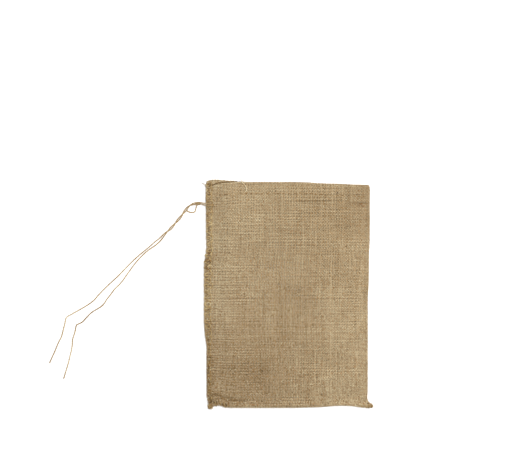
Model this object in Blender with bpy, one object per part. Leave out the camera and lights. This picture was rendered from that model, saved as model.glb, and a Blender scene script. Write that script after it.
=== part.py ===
"""A small jute sack that lies empty and flat on its back panel, with its string tie.

The body is one length of hessian: folded down the right side, overedged down the left
side, seamed along the bottom and hemmed round the mouth. Two strings leave a knot at the
side seam, twisted together at first and then apart.

Sizes are written in millimetres and scaled to metres where meshes are made. +Z is up, +Y
runs to the mouth, and the sack rests on z = 0 with its own box centred on the origin.
"""
import math

import bmesh
import bpy
import numpy as np

METRES = 0.001

# ---- the cloth, in millimetres ----
CLOTH = 1.3            # one layer of hessian
HEM_LAYER = 0.7        # what the turned-in hem adds inside the mouth
HEM_DEPTH = 23.0
SIDE_LIP = 8.0         # width of the overedged seam, both layers pressed together
BOTTOM_LIP = 8.0       # the same along the bottom, where the seam allowance is turned in
BOTTOM_ROLL = 1.8      # extra thickness of that turned-in allowance
PUFF = 6.0             # how far the two panels stand apart
CROWN = 1.6            # and the rest of it, in the middle
FOLD_SHARE = 0.4       # share of the puff that is left at the fold on the right
SIDE_RISE, BOTTOM_RISE, FOLD_RISE = 24.0, 28.0, 20.0
BOTTOM_ROLL_FADE = 8.0
PINCH = 0.25           # half the space that is left where the pocket ends

# ---- the outline, in millimetres ----
LOW_Y, HIGH_Y = -139.8, 139.3
HALF_WIDTH, HALF_HEIGHT = 100.0, 139.5
FOLD_X = 98.0
# height up the sack, where the side edge is
LEFT_EDGE = (
    (-140.5, -98.3), (-138.2, -99.4), (-136.0, -98.6), (-129.4, -99.9), (-122.1, -101.1),
    (-63.2, -101.1), (-55.8, -102.3), (-43.6, -103.6), (-31.3, -104.2), (36.2, -104.2),
    (44.8, -102.8), (59.5, -101.1), (73.0, -101.7), (139.5, -101.7),
)
RIGHT_EDGE = (
    (-139.6, 99.5), (-138.7, 102.6), (-136.6, 104.1), (-134.6, 103.9), (-133.3, 101.2),
    (-131.5, 98.8), (-129.6, 97.5), (-125.8, 96.7), (-118.4, 97.2), (-4.3, 97.3),
    (8.0, 98.1), (27.0, 98.6), (52.0, 98.9), (66.0, 99.7), (128.0, 99.8), (134.5, 99.8),
)
# place across the sack, height of the edge there
BOTTOM_EDGE = (
    (-99.4, -140.1), (-96.4, -140.9), (-93.6, -138.2), (-87.9, -136.3), (-82.3, -136.6),
    (-77.8, -138.7), (-65.5, -139.1), (-34.8, -139.1), (2.0, -139.0), (20.4, -138.7),
    (41.2, -137.9), (54.7, -136.8), (64.5, -136.4), (76.8, -136.8), (87.9, -138.4),
    (95.8, -138.9), (104.1, -138.6),
)
BACK_MOUTH = (
    (-101.7, 136.8), (-99.9, 139.3), (-93.7, 140.5), (-86.4, 140.7), (-79.0, 139.8),
    (-69.2, 139.3), (-55.7, 138.0), (-47.1, 137.7), (2.0, 137.7), (14.2, 137.4),
    (32.6, 136.4), (75.6, 134.7), (99.5, 134.0),
)
FRONT_MOUTH = (
    (-101.7, 136.8), (-99.3, 133.8), (-95.0, 132.7), (-86.8, 135.3), (-77.8, 136.4),
    (-55.7, 137.5), (-47.1, 137.6), (2.0, 137.7), (14.2, 137.4), (32.6, 136.4),
    (75.6, 134.7), (99.5, 134.0),
)

# ---- soft folds of the front panel, in millimetres ----
# from x, from y, to x, to y, half width, lift
FOLDS = (
    (4.0, 55.0, 18.0, -62.0, 20.0, 1.3),       # long ridge right of the middle
    (-23.0, -7.0, 9.0, -83.0, 18.0, -1.1),     # hollow beside it
    (2.0, -78.0, 69.0, -79.0, 8.0, -0.9),      # crease across the lower right
    (-69.0, -100.0, -32.0, -102.0, 13.0, -1.5),  # dip by the lower left corner
    (-94.0, -120.0, -77.0, -127.0, 5.0, -1.0),   # crease that runs in from the side seam
    (-77.0, -127.0, -36.0, -128.0, 5.0, -1.0),   # and on along the bottom seam
    (75.0, -44.0, 78.0, -117.0, 14.0, 1.1),    # ridge by the fold
    (-78.0, 104.0, -65.0, 30.0, 20.0, 0.8),    # ridge beside the side seam
)

# ---- the mesh's stations, in millimetres from an edge ----
LEFT_STEPS = (0.0, 0.3, 1.3, 4.0, 8.0, 12.0, 17.0, 23.0)
RIGHT_STEPS = (0.0, 0.4, 1.3, 2.6, 6.0, 11.0, 17.0)
BOTTOM_STEPS = (0.0, 0.5, 1.2, 2.2, 3.4, 4.6, 5.6, 6.8, 8.2, 10.0, 13.0, 17.0, 22.0, 28.0)
MOUTH_STEPS = (0.0, 7.0, 14.0, HEM_DEPTH - 0.6, HEM_DEPTH + 0.6, 30.0)
POCKET_STEPS = (0.0, 0.7, 2.0, 5.0, 10.0, 16.0)
ACROSS_STEP, UP_STEP = 9.2, 8.2

# ---- the string tie, in millimetres ----
STRING = 1.6                       # diameter
TOUCH = 0.3                        # air left between neighbours
PAIR_RADIUS = 1.05                 # from the pair's middle line to each string's
PAIR_TURNS = 2
PAIR_HEIGHTS = (2.15, 1.9)         # of the middle line, at the knot and where it parts
FREE_HEIGHT = 0.85
SETTLE = 16.0                      # length over which a parted string comes down
STRING_STEP = 3.8                  # between the points of a route
KNOT_START, KNOT_Y = -102.05, 112.0
NECK_LENGTH, NECK_RADIUS = 11.2, 1.2
WRAPS = (7.2, 8.9, 10.6)           # where string is wrapped round the neck
WRAP_RADIUS, WRAP_THICK = 1.35, 0.78
TAIL_RADIUS = 0.78
TAIL = (
    (-111.6, 110.6, 2.0), (-112.9, 108.3, 1.3), (-113.8, 105.0, 0.85), (-114.7, 102.2, 0.85),
    (-117.2, 100.8, 0.85), (-120.4, 101.0, 0.85), (-123.3, 102.2, 0.85),
)

# middle line of the twisted pair, then each string's own way: x, y
PAIR_ROUTE = (
    (-113.9, 111.9), (-119.5, 110.3), (-123.8, 106.8), (-127.5, 101.9), (-131.8, 96.0),
    (-136.7, 90.2), (-141.6, 84.3), (-146.1, 79.6), (-150.2, 76.0), (-153.2, 72.8),
)
LEFT_ROUTE = (
    (-158.0, 69.4), (-162.1, 66.4), (-170.7, 58.9), (-186.1, 46.0), (-198.3, 34.0),
    (-210.3, 21.8), (-222.3, 10.7), (-230.9, 2.1), (-237.9, -5.9), (-242.2, -9.6),
    (-247.7, -13.3), (-253.8, -17.0), (-260.4, -20.6), (-266.7, -24.3), (-271.2, -26.7),
    (-273.3, -29.6), (-274.2, -34.5), (-276.2, -42.7), (-277.9, -49.5), (-279.6, -53.8),
    (-282.2, -58.5), (-286.3, -68.5), (-289.7, -75.9), (-293.3, -84.0),
)
RIGHT_ROUTE = (
    (-155.3, 68.2), (-162.1, 61.5), (-174.1, 52.9), (-186.1, 40.9), (-196.6, 27.0),
    (-205.2, 15.0), (-213.7, 6.4), (-217.3, 1.5), (-223.1, -5.9), (-225.4, -9.6),
    (-228.4, -13.3), (-233.9, -17.0), (-240.0, -20.6), (-244.3, -24.3), (-251.3, -31.7),
    (-254.5, -34.6), (-258.6, -36.1), (-260.6, -38.2), (-261.3, -42.7), (-263.0, -49.0),
    (-264.9, -55.0), (-265.2, -61.1), (-266.4, -68.5), (-268.2, -75.9), (-270.3, -84.5),
    (-272.9, -93.0), (-275.9, -103.2),
)

CLOTH_COLOUR = "#AB9573"
STRING_COLOUR = "#A8895A"


def linear(hex_colour):
    """sRGB hex to the linear RGBA that a shader takes."""
    parts = [int(hex_colour[k:k + 2], 16) / 255 for k in (1, 3, 5)]
    return (*(c / 12.92 if c <= 0.04045 else ((c + 0.055) / 1.055) ** 2.4 for c in parts), 1.0)


def plain_material(name, hex_colour, roughness):
    material = bpy.data.materials.new(name)
    material.use_nodes = True
    shader = material.node_tree.nodes["Principled BSDF"]
    shader.inputs["Base Color"].default_value = linear(hex_colour)
    shader.inputs["Roughness"].default_value = roughness
    shader.inputs["Metallic"].default_value = 0.0
    return material


def soft_curve(table):
    """A function that runs smoothly, and never past them, through a table's points."""
    at, value = np.array(table).T
    rise = np.diff(value) / np.diff(at)
    before, after = np.concatenate([rise[:1], rise]), np.concatenate([rise, rise[-1:]])
    turns = before * after <= 0
    slope = np.where(turns, 0.0, 2 * before * after / np.where(turns, 1.0, before + after))

    def read(where):
        where = np.clip(where, at[0], at[-1])
        k = np.clip(np.searchsorted(at, where, side="right") - 1, 0, len(at) - 2)
        gap = at[k + 1] - at[k]
        t = (where - at[k]) / gap
        start = (1 + 2 * t) * (1 - t) ** 2 * value[k] + t * (1 - t) ** 2 * gap * slope[k]
        end = t * t * (3 - 2 * t) * value[k + 1] - t * t * (1 - t) * gap * slope[k + 1]
        return start + end

    return read


left_edge, right_edge = soft_curve(LEFT_EDGE), soft_curve(RIGHT_EDGE)
bottom_edge = soft_curve(BOTTOM_EDGE)
back_mouth, front_mouth = soft_curve(BACK_MOUTH), soft_curve(FRONT_MOUTH)


def ease(distance, start, length):
    """0 before start, 1 past start + length, smooth between."""
    t = np.clip((distance - start) / length, 0.0, 1.0)
    return t * t * (3 - 2 * t)


def round_off(distance, radius):
    """Share of the full half thickness at a distance in from a rounded edge."""
    t = np.clip(distance / np.maximum(radius, 0.1), 0.0, 1.0)
    return np.sqrt(1.0 - (1.0 - t) ** 2)


def fold_lift(x, y):
    """Sum of the soft folds at a place on the front panel."""
    total = np.zeros_like(x)
    for x0, y0, x1, y1, half_width, lift in FOLDS:
        run_x, run_y = x1 - x0, y1 - y0
        t = np.clip(((x - x0) * run_x + (y - y0) * run_y) / (run_x ** 2 + run_y ** 2), 0, 1)
        off = np.hypot(x - x0 - t * run_x, y - y0 - t * run_y)
        total += lift * np.exp(-(off / half_width) ** 2)
    return total


def thickness(x, y):
    """Height of the front panel's outer face over the floor."""
    above_bottom = y - bottom_edge(x)
    puff = ease(x - left_edge(y), SIDE_LIP, SIDE_RISE) * ease(above_bottom, BOTTOM_LIP, BOTTOM_RISE)
    puff *= FOLD_SHARE + (1 - FOLD_SHARE) * ease(FOLD_X - x, 0.0, FOLD_RISE)
    bulge = np.clip(1 - (x / HALF_WIDTH) ** 2, 0, 1) * np.clip(1 - (y / HALF_HEIGHT) ** 2, 0, 1)
    roll = BOTTOM_ROLL * (1 - ease(above_bottom, BOTTOM_LIP - 2.0, BOTTOM_ROLL_FADE))
    return 2 * CLOTH + roll + puff * (PUFF + CROWN * bulge + fold_lift(x, y))


def stations(length, near_start, near_end, step):
    """Shares from 0 to 1: closer together by both ends and even between them."""
    first, last = near_start[-1], length - near_end[-1]
    count = round((last - first) / step)
    between = [first + (last - first) * k / count for k in range(1, count)]
    places = [*near_start, *between, *(length - near for near in reversed(near_end))]
    return np.array(places) / length


def row_places(share, across, left_inset, right_inset):
    """x, and y on the back and front panels, of one row from side to side."""
    nominal = LOW_Y + share * (HIGH_Y - LOW_Y)
    left = left_edge(nominal) + left_inset
    right = right_edge(nominal) - right_inset
    x = left + across * (right - left)
    low = bottom_edge(x)
    return x, low + share * (back_mouth(x) - low), low + share * (front_mouth(x) - low)


def outer_row(share, across):
    """One loop round the outside: along the back panel, then back along the front."""
    x, back_y, front_y = row_places(share, across, 0.0, 0.0)
    height = thickness(x, front_y)
    half = height / 2
    keep = round_off(x - x[0], half) * round_off(x[-1] - x, half)
    keep *= round_off(front_y - bottom_edge(x), half)
    back = np.stack([x, back_y, half - half * keep], axis=1)
    front = np.stack([x, front_y, half + half * keep], axis=1)
    return np.concatenate([back, front[::-1]])


def inner_row(share, across, pocket_share):
    """The same round the inside of the pocket, one wall's thickness in."""
    x, back_y, front_y = row_places(share, across, SIDE_LIP, CLOTH)
    height = thickness(x, front_y)
    hem = HEM_LAYER * ease(front_y - front_mouth(x), -HEM_DEPTH - 0.5, 1.0)
    room = height / 2 - CLOTH
    keep = round_off(x - x[0], 2.0) * round_off(x[-1] - x, room)
    keep *= round_off((share - pocket_share) * (HIGH_Y - LOW_Y), 2.0)
    gap = np.maximum((room - hem) * keep, PINCH)
    back = np.stack([x, back_y, height / 2 - gap], axis=1)
    front = np.stack([x, front_y, height / 2 + gap], axis=1)
    return np.concatenate([back, front[::-1]])


def add_rows(mesh, rows, flip):
    """Vertices of each row, and the faces between a row and the next one."""
    loops = [[mesh.verts.new(point * METRES) for point in row] for row in rows]
    for low, high in zip(loops, loops[1:]):
        join_loops(mesh, low, high, flip)
    return loops


def join_loops(mesh, low, high, flip):
    count = len(low)
    for k in range(count):
        after = (k + 1) % count
        corners = [low[k], low[after], high[after], high[k]]
        mesh.faces.new(corners[::-1] if flip else corners)


def close_pocket(mesh, loop):
    """The narrow face along the bottom of the pocket."""
    half = len(loop) // 2
    back, front = loop[:half], loop[:half - 1:-1]
    for k in range(half - 1):
        mesh.faces.new([back[k], back[k + 1], front[k + 1], front[k]])


def sack_cloth():
    """The whole cloth as one closed solid with its pocket open at the mouth."""
    width, height = 2 * HALF_WIDTH, HIGH_Y - LOW_Y
    across = stations(width, LEFT_STEPS, RIGHT_STEPS, ACROSS_STEP)
    up = stations(height, BOTTOM_STEPS, MOUTH_STEPS, UP_STEP)
    pocket_share = BOTTOM_LIP / height
    pocket = stations(height - BOTTOM_LIP, POCKET_STEPS, MOUTH_STEPS, UP_STEP)
    pocket = pocket_share + pocket * (1 - pocket_share)

    mesh = bmesh.new()
    outside = add_rows(mesh, [outer_row(share, across) for share in up], flip=False)
    inside = add_rows(mesh, [inner_row(share, across, pocket_share) for share in pocket], flip=True)
    join_loops(mesh, outside[-1], inside[-1], flip=False)
    close_pocket(mesh, inside[0])
    bmesh.ops.remove_doubles(mesh, verts=mesh.verts, dist=1e-6)
    bmesh.ops.recalc_face_normals(mesh, faces=mesh.faces)
    return mesh_object("sack_cloth", mesh, plain_material("jute_cloth", CLOTH_COLOUR, 0.95))


def mesh_object(name, mesh, material=None):
    data = bpy.data.meshes.new(name)
    mesh.to_mesh(data)
    mesh.free()
    if material:
        data.materials.append(material)
    thing = bpy.data.objects.new(name, data)
    bpy.context.scene.collection.objects.link(thing)
    return thing


def smooth_route(points, step):
    """Points at even steps along a smooth curve through a route's own points."""
    points = np.array(points)
    ends = [2 * points[0] - points[1], *points, 2 * points[-1] - points[-2]]
    fine = []
    for a, b, c, d in zip(ends, ends[1:], ends[2:], ends[3:]):
        for t in np.linspace(0, 1, 24, endpoint=False):
            fine.append(0.5 * (2 * b + (c - a) * t + (2 * a - 5 * b + 4 * c - d) * t ** 2
                               + (3 * b - a - 3 * c + d) * t ** 3))
    fine = np.array([*fine, points[-1]])
    run = np.concatenate([[0], np.cumsum(np.linalg.norm(np.diff(fine, axis=0), axis=1))])
    stops = np.linspace(0, run[-1], max(2, math.ceil(run[-1] / step) + 1))
    return np.stack([np.interp(stops, run, axis) for axis in fine.T], axis=1)


def string_route(own_route, side):
    """One string: round the pair's middle line first, then down its own way."""
    middle = smooth_route(PAIR_ROUTE, STRING_STEP)
    share = np.linspace(0, 1, len(middle))
    heading = np.gradient(middle, axis=0)
    heading /= np.linalg.norm(heading, axis=1)[:, None]
    right = np.stack([heading[:, 1], -heading[:, 0]], axis=1)
    phase = share * PAIR_TURNS * 2 * math.pi
    lift = np.interp(share, (0, 1), PAIR_HEIGHTS)
    flat = middle + right * (side * PAIR_RADIUS * np.cos(phase))[:, None]
    pair = np.column_stack([flat, lift + side * PAIR_RADIUS * np.sin(phase)])

    free = smooth_route([flat[-1], *own_route], STRING_STEP)
    run = np.arange(len(free)) * STRING_STEP
    height = PAIR_HEIGHTS[1] + (FREE_HEIGHT - PAIR_HEIGHTS[1]) * ease(run, 0.0, SETTLE)
    return np.concatenate([pair, np.column_stack([free, height])[1:]])


def tube(name, points, radius, material=None):
    """A round cord along a list of points, with filled ends."""
    curve = bpy.data.curves.new(name, "CURVE")
    curve.dimensions = "3D"
    curve.bevel_depth = radius * METRES
    curve.bevel_resolution = 2
    curve.use_fill_caps = True
    spline = curve.splines.new("POLY")
    spline.points.add(len(points) - 1)
    for target, point in zip(spline.points, points):
        target.co = (*(c * METRES for c in point), 1.0)
    if material:
        curve.materials.append(material)
    thing = bpy.data.objects.new(name, curve)
    bpy.context.scene.collection.objects.link(thing)
    return thing


def wrap(name, along):
    """One turn of string round the knot's neck."""
    bpy.ops.mesh.primitive_torus_add(
        location=((KNOT_START - along) * METRES, KNOT_Y * METRES, PAIR_HEIGHTS[0] * METRES),
        rotation=(0.0, math.radians(90), 0.0), major_segments=16, minor_segments=8,
        major_radius=WRAP_RADIUS * METRES, minor_radius=WRAP_THICK * METRES)
    bpy.context.object.name = name
    return bpy.context.object


def tie_knot(material):
    """Neck of string out of the side seam, its wraps and the tail curling back, as one solid."""
    neck_end = KNOT_START - NECK_LENGTH
    neck = ((KNOT_START, KNOT_Y, PAIR_HEIGHTS[0]), (neck_end, KNOT_Y, PAIR_HEIGHTS[0]))
    pieces = [tube("neck", neck, NECK_RADIUS), tube("tail", smooth_route(TAIL, 2.0), TAIL_RADIUS)]
    pieces += [wrap(f"wrap_{k}", along) for k, along in enumerate(WRAPS)]
    return unite("tie_knot", pieces, material)


def unite(name, pieces, material):
    """One closed solid out of pieces that overlap."""
    view = bpy.context.evaluated_depsgraph_get()
    solids = []
    for piece in pieces:
        data = bpy.data.meshes.new_from_object(piece.evaluated_get(view))
        data.transform(piece.matrix_world)
        solids.append(bpy.data.objects.new(piece.name + "_solid", data))
        bpy.data.objects.remove(piece)
    whole = solids[0]
    for solid in solids:
        bpy.context.scene.collection.objects.link(solid)
    for other in solids[1:]:
        union = whole.modifiers.new(other.name, "BOOLEAN")
        union.operation = "UNION"
        union.object = other
    view = bpy.context.evaluated_depsgraph_get()
    data = bpy.data.meshes.new_from_object(whole.evaluated_get(view))
    for solid in solids:
        bpy.data.objects.remove(solid)
    data.name = name
    data.materials.clear()
    data.materials.append(material)
    thing = bpy.data.objects.new(name, data)
    bpy.context.scene.collection.objects.link(thing)
    return thing


def main():
    for thing in list(bpy.data.objects):
        bpy.data.objects.remove(thing)
    sack_cloth()
    string = plain_material("jute_string", STRING_COLOUR, 0.9)
    tie_knot(string)
    tube("tie_string_left", string_route(LEFT_ROUTE, 1), STRING / 2, string)
    tube("tie_string_right", string_route(RIGHT_ROUTE, -1), STRING / 2, string)


main()
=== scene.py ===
"""Dresses the small jute sack: its woven yarns, its sewing and its string tie.

The sack lies empty on its back panel. Sizes are in millimetres, as in the part's own
source, and are scaled to metres where meshes are made.
"""
import math

import bpy
import numpy as np
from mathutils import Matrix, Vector


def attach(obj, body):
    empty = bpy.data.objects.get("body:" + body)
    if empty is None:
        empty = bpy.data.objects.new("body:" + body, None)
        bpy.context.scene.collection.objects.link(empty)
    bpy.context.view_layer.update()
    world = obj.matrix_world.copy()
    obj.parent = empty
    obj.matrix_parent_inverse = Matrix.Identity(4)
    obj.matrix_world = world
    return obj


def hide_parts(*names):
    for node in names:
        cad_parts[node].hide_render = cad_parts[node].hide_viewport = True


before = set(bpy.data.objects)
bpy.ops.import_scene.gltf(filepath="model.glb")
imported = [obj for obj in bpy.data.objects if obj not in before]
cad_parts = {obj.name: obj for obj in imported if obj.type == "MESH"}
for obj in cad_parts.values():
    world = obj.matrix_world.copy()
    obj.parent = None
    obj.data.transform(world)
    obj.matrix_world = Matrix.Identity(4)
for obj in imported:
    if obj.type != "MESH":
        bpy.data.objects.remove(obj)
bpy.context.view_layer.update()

METRES = 0.001
BODY = "root"
UP = (0.0, 0.0, 1.0)

# ---- the cloth as the solids hold it ----
CLOTH = 1.3
HEM_DEPTH = 23.0
SIDE_LIP = 8.0
BOTTOM_LIP = 8.0
BOTTOM_ROLL, BOTTOM_ROLL_FADE = 1.8, 8.0
PUFF, CROWN, FOLD_SHARE = 6.0, 1.6, 0.4
SIDE_RISE, BOTTOM_RISE, FOLD_RISE = 24.0, 28.0, 20.0
LOW_Y, HIGH_Y = -139.8, 139.3
HEIGHT = HIGH_Y - LOW_Y
HALF_WIDTH, HALF_HEIGHT = 100.0, 139.5
FOLD_X = 98.0

# height up the sack, and where the side edge is at that height
LEFT_EDGE = (
    (-140.5, -98.3), (-138.2, -99.4), (-136.0, -98.6), (-129.4, -99.9), (-122.1, -101.1),
    (-63.2, -101.1), (-55.8, -102.3), (-43.6, -103.6), (-31.3, -104.2), (36.2, -104.2),
    (44.8, -102.8), (59.5, -101.1), (73.0, -101.7), (139.5, -101.7),
)
RIGHT_EDGE = (
    (-139.6, 99.5), (-138.7, 102.6), (-136.6, 104.1), (-134.6, 103.9), (-133.3, 101.2),
    (-131.5, 98.8), (-129.6, 97.5), (-125.8, 96.7), (-118.4, 97.2), (-4.3, 97.3),
    (8.0, 98.1), (27.0, 98.6), (52.0, 98.9), (66.0, 99.7), (128.0, 99.8), (132.4, 99.5),
    (134.5, 98.3),
)
# place across the sack, and the height of the edge there
BOTTOM_EDGE = (
    (-99.4, -140.1), (-96.4, -140.9), (-93.6, -138.2), (-87.9, -136.3), (-82.3, -136.6),
    (-77.8, -138.7), (-65.5, -139.1), (-34.8, -139.1), (2.0, -139.0), (20.4, -138.7),
    (41.2, -137.9), (54.7, -136.8), (64.5, -136.4), (76.8, -136.8), (87.9, -138.4),
    (95.8, -138.9), (104.1, -138.6),
)
# from the middle to the right the mouth's two edges run together
MOUTH_RIGHT = ((2.0, 137.7), (14.2, 137.4), (32.6, 136.4), (75.6, 134.7), (99.5, 134.0))
BACK_MOUTH = (
    (-101.7, 136.8), (-99.9, 139.3), (-93.7, 140.5), (-86.4, 140.7), (-79.0, 139.8),
    (-69.2, 139.3), (-55.7, 138.0), (-47.1, 137.7), *MOUTH_RIGHT,
)
FRONT_MOUTH = (
    (-101.7, 136.8), (-99.3, 133.8), (-95.0, 132.7), (-86.8, 135.3), (-77.8, 136.4),
    (-55.7, 137.5), (-47.1, 137.6), *MOUTH_RIGHT,
)
# where the weave's own rows run by the mouth and by the bottom: its edges wander past them
MOUTH_ROW = (
    (-101.7, 135.0), (-50.0, 137.3), (-14.0, 137.6), (23.0, 137.8), (60.0, 137.6), (99.5, 138.2),
)
BOTTOM_ROW = (
    (-101.7, -138.5), (-50.0, -139.3), (-14.0, -138.7), (23.0, -139.4), (60.0, -139.6),
    (99.5, -139.4),
)
BOTTOM_SETTLE = 45.0  # how far up the rows still follow the bottom edge
# how far the rows are beaten up or down the sack: place up it, shift, and a small ripple
BEATEN = (
    (0.0, 0.0), (47.0, 0.0), (96.0, -1.25), (145.0, -3.3), (194.0, -2.3), (241.0, 0.7),
    (279.0, 1.7), (310.0, 1.9),
)
RIPPLE, RIPPLE_LENGTH, RIPPLE_START = 0.35, 5.1, 4.0
# soft folds of the front panel: from x, from y, to x, to y, half width, lift
FOLDS = (
    (4, 55, 18, -62, 20, 1.3),
    (-23, -7, 9, -83, 18, -1.1),
    (2, -78, 69, -79, 8, -0.9),
    (-69, -100, -32, -102, 13, -1.5),
    (-94, -120, -77, -127, 5, -1),
    (-77, -127, -36, -128, 5, -1),
    (75, -44, 78, -117, 14, 1.1),
    (-78, 104, -65, 30, 20, 0.8),
)

# ---- the weave ----
WARP_PITCH, WEFT_PITCH = 1.61, 1.67  # of a fine hessian
YARN_WIDTH, YARN_DEPTH = 1.34, 0.80
YARN_SIDES = 4
CRIMP = 0.30  # how far a yarn leaves the cloth's middle at a crossing
# how far the cloth's middle lies above the solid's, and the yarns' crowns above its face
CLOTH_LIFT, CROWN_LIFT = 0.12, 0.06
# how much the tighter set of yarns stands out over the other, and how much wider it is by it
PROUD, PROUD_WIDER = 0.10, 0.5
SIDE_SCALE = 60.0  # over which the weave changes from left to right
# where the weave's lower half and its lowest part start, and over how far they fade
LOWER_HALF, LOWEST_PART = (15.0, 60.0), (-115.0, 50.0)
# how far yarns are drawn together two by two: in the middle, the shares that it loses to the
# right and by both sides, its share at the top, and what is added lower down
WARP_PAIRING = (0.345, 0.15, 0.68, 0.84, 0.3)
WEFT_PAIRING = (0.085, 0.5, 0.0, 0.56, 1.05)
# how a yarn wanders: its own amount, then over so far along it by so much
OWN_WANDER, WANDERS = 0.03, ((26.0, 0.11), (7.0, 0.08))
# how its width changes, as shares of it: its own amount, then over long and short lengths
OWN_WIDTH, LONG_SLUB, SLUB, KNOB = 0.02, (40.0, 0.035), (7.0, 0.045), (2.2, 0.04)
LEAST_WIDTH, MOST_WIDTH = 0.7, 1.3
KNOBS_BELOW = 0.4  # how much more knobs show in the lower half
SLUB_PALER, SLUB_DEEPER = 0.3, 0.35  # of a thick place
SLACKER_LEFT = 0.05  # how much finer the yarns are at the left
# how its tone changes, from 0 for dark to 1 for pale, in the same way
MIDDLE_TONE, OWN_TONE, LONG_TONE, SHORT_TONE = 0.53, 0.02, (30.0, 0.05), (9.0, 0.05)
# painted light and shade on the floats: the cross yarns are painted paler, the lengthwise ones darker
FLOAT_LIGHT_AND_SHADE = 0.11  # the cross yarns are paler, and the others as much darker
# how much more the lengthwise yarns differ from each other, and how much less by the sides
STREAK, STREAK_LESS = 1.7, 0.55
# dark dashes of single fibres: their depth, what the lower half and the lowest part add, and
# what the right side takes off
DASH, DASH_BELOW, DASH_TO_RIGHT = 0.075, 0.05, 0.02
DASH_NEIGHBOUR, DASH_MEAN = 0.4, 0.2  # how much paler the yarn is by a dash, and what is left
PANEL, FOLD_ARC = 197.0, 6.0  # flat width of a panel, and of what goes round the fold
HEM_TURN = 0.62  # radius at which the hem turns in
# how far the front panel stands out over its hem, and over what length it comes to do so
HEM_STEP, HEM_STEP_RUN = 0.45, 2.0
LEAST_TURN = 0.25  # share of the hem's turn that is left where panels are close
# from the sack's edge to the middle of its outermost yarn
MOUTH_INSET, SIDE_INSET, BOTTOM_INSET = 0.4, 0.45, 0.9
BOTTOM_BEND = 2.2  # radius at which the front panel rolls under the bottom

# ---- the sewing twine ----
TWINE, TWINE_LAY = 1.15, 4.0
TWINE_STEP = 0.6  # between the points of a line of twine
# two plies, how far they press into each other, and how much and how often they change width
PLIES, PLY_PRESS, PLY_UNEVEN = 2, 1.08, (7.0, 0.07)

# ---- the string tie ----
STRING, STRING_LAY = 1.6, 4.6
PAIR_RADIUS, PAIR_TURNS, PAIR_HEIGHTS = 1.05, 2, (2.15, 1.9)
FREE_HEIGHT, SETTLE, STRING_STEP = 0.85, 16.0, 3.8
LINE_STEP = 0.7  # between the points of a finished string
KNOT_START, KNOT_Y, NECK_LENGTH = -102.05, 112.0, 11.2
KNOT_END = KNOT_START - NECK_LENGTH - 1.0
WRAPS, WRAP_RADIUS, WRAPS_START, WRAPS_LENGTH = 3, 1.35, 6.4, 4.8
KNOT_TWINE, KNOT_LAY = 0.95, 5.0  # share of the string's width, drawn tight, and its lay
# the two strings from within the seam to the knot's end: x, y, how far each lies to its own
# side, z
NECK = (
    (-91.8, 109.6, 0.7, 4.2), (-94.0, 109.9, 0.7, 5.6), (-97.5, 110.2, 0.9, 4.7),
    (-101.0, 110.6, 1.0, 3.7), (-104.2, 111.3, 1.0, 2.9),
    (-107.0, KNOT_Y, 0.8, PAIR_HEIGHTS[0]), (KNOT_END, KNOT_Y, 0.6, PAIR_HEIGHTS[0]),
)
TAIL = (
    (-111.6, 110.6, 2.0), (-112.9, 108.3, 1.3), (-113.8, 105.0, 0.85), (-114.7, 102.2, 0.85),
    (-117.2, 100.8, 0.85), (-120.4, 101.0, 0.85), (-123.3, 102.2, 0.85), (-124.7, 103.3, 1.1),
)
PAIR_ROUTE = (
    (-113.9, 111.9), (-119.5, 110.3), (-123.8, 106.8), (-127.5, 101.9), (-131.8, 96.0),
    (-136.7, 90.2), (-141.6, 84.3), (-146.1, 79.6), (-150.2, 76.0), (-153.2, 72.8),
)
LEFT_ROUTE = (
    (-158.0, 69.4), (-162.1, 66.4), (-170.7, 58.9), (-186.1, 46.0), (-198.3, 34.0),
    (-210.3, 21.8), (-222.3, 10.7), (-230.9, 2.1), (-237.9, -5.9), (-242.2, -9.6),
    (-247.7, -13.3), (-253.8, -17.0), (-260.4, -20.6), (-266.7, -24.3), (-271.2, -26.7),
    (-273.3, -29.6), (-274.2, -34.5), (-276.2, -42.7), (-277.9, -49.5), (-279.6, -53.8),
    (-282.2, -58.5), (-286.3, -68.5), (-289.7, -75.9), (-293.3, -84.0),
)
RIGHT_ROUTE = (
    (-155.3, 68.2), (-162.1, 61.5), (-174.1, 52.9), (-186.1, 40.9), (-196.6, 27.0),
    (-205.2, 15.0), (-213.7, 6.4), (-217.3, 1.5), (-223.1, -5.9), (-225.4, -9.6),
    (-228.4, -13.3), (-233.9, -17.0), (-240.0, -20.6), (-244.3, -24.3), (-251.3, -31.7),
    (-254.5, -34.6), (-258.6, -36.1), (-260.6, -38.2), (-261.3, -42.7), (-263.0, -49.0),
    (-264.9, -55.0), (-265.2, -61.1), (-266.4, -68.5), (-268.2, -75.9), (-270.3, -84.5),
    (-272.9, -93.0), (-275.9, -103.2),
)

# ---- the view, straight down from high above, and what it takes in from side to side ----
VIEW_CENTRE = (-39.4, 80.6)
VIEW_WIDTH, VIEW_HEIGHT = 629.5, 1500.0
SENSOR = 36.0
FLOOR_REACH = 3.0  # metres, as are the lamp's place and size


# ================= shapes shared with the solids =================
def soft_curve(table):
    """A function that runs smoothly, and never past them, through a table's points."""
    at, value = np.array(table).T
    rise = np.diff(value) / np.diff(at)
    before, after = np.concatenate([rise[:1], rise]), np.concatenate([rise, rise[-1:]])
    turns = before * after <= 0
    slope = np.where(turns, 0.0, 2 * before * after / np.where(turns, 1.0, before + after))

    def read(where):
        where = np.clip(where, at[0], at[-1])
        k = np.clip(np.searchsorted(at, where, side="right") - 1, 0, len(at) - 2)
        gap = at[k + 1] - at[k]
        t = (where - at[k]) / gap
        start = (1 + 2 * t) * (1 - t) ** 2 * value[k] + t * (1 - t) ** 2 * gap * slope[k]
        end = t * t * (3 - 2 * t) * value[k + 1] - t * t * (1 - t) * gap * slope[k + 1]
        return start + end

    return read


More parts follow.
